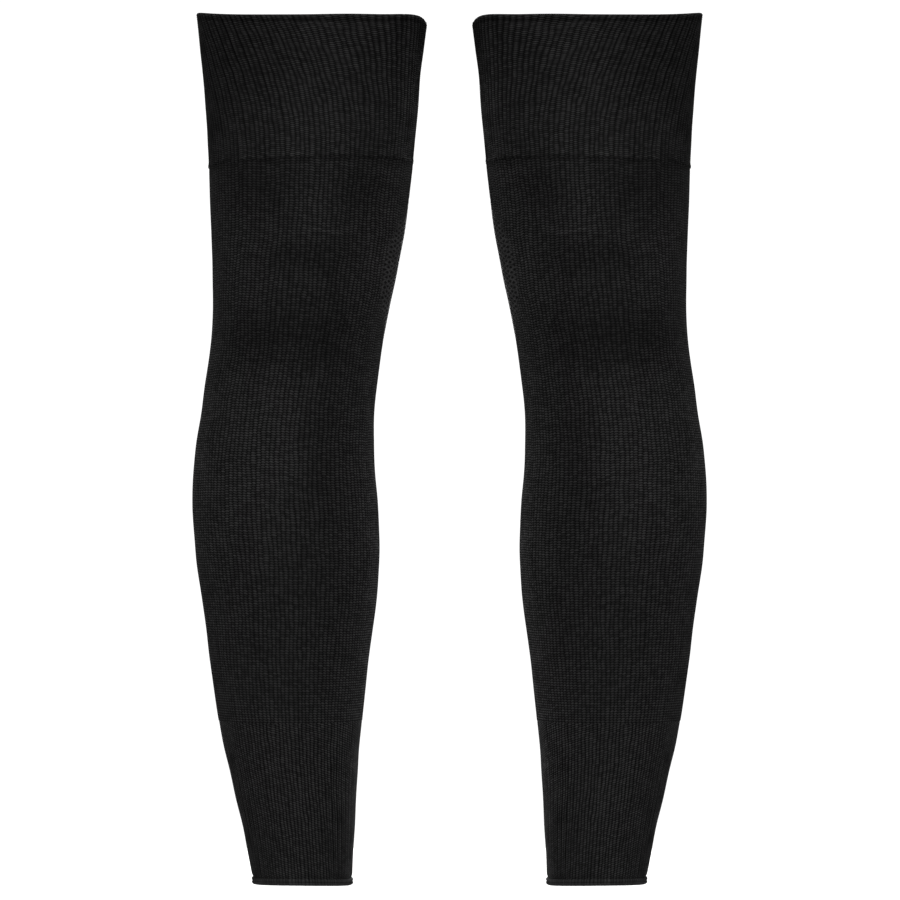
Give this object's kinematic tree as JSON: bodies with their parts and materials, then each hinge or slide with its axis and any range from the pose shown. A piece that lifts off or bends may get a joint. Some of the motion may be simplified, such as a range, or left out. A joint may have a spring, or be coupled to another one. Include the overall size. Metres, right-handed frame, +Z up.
{
  "type": "pair of knitted over-the-knee leg warmers",
  "caption": "Footless knitted tubes from mid-thigh to ankle with ribbed thigh and ankle cuffs, filled out as worn and placed side by side as a pair.",
  "frame": {"origin": "midway between the two legs, half way up the thigh cuffs, where the wearer's thighs hold the pair up", "axes": "+Z up along the legs, towards the thighs; the fronts of the knees face -Y; +X towards the wearer's left leg"},
  "size_m": [0.3544, 0.165, 0.6003],
  "materials": {
    "thigh_rib": "matt black ribbed knit, double layer",
    "leg_knit": "matt black fine knit",
    "ankle_rib": "matt black fine ribbed knit",
    "overlock": "matt black overlocked edge"
  },
  "bodies": {
    "root": {"right_thigh_cuff": "thigh_rib", "right_leg": "leg_knit", "right_ankle_cuff": "ankle_rib", "right_hem": "overlock", "left_thigh_cuff": "thigh_rib", "left_leg": "leg_knit", "left_ankle_cuff": "ankle_rib", "left_hem": "overlock"}
  },
  "joints": []
}
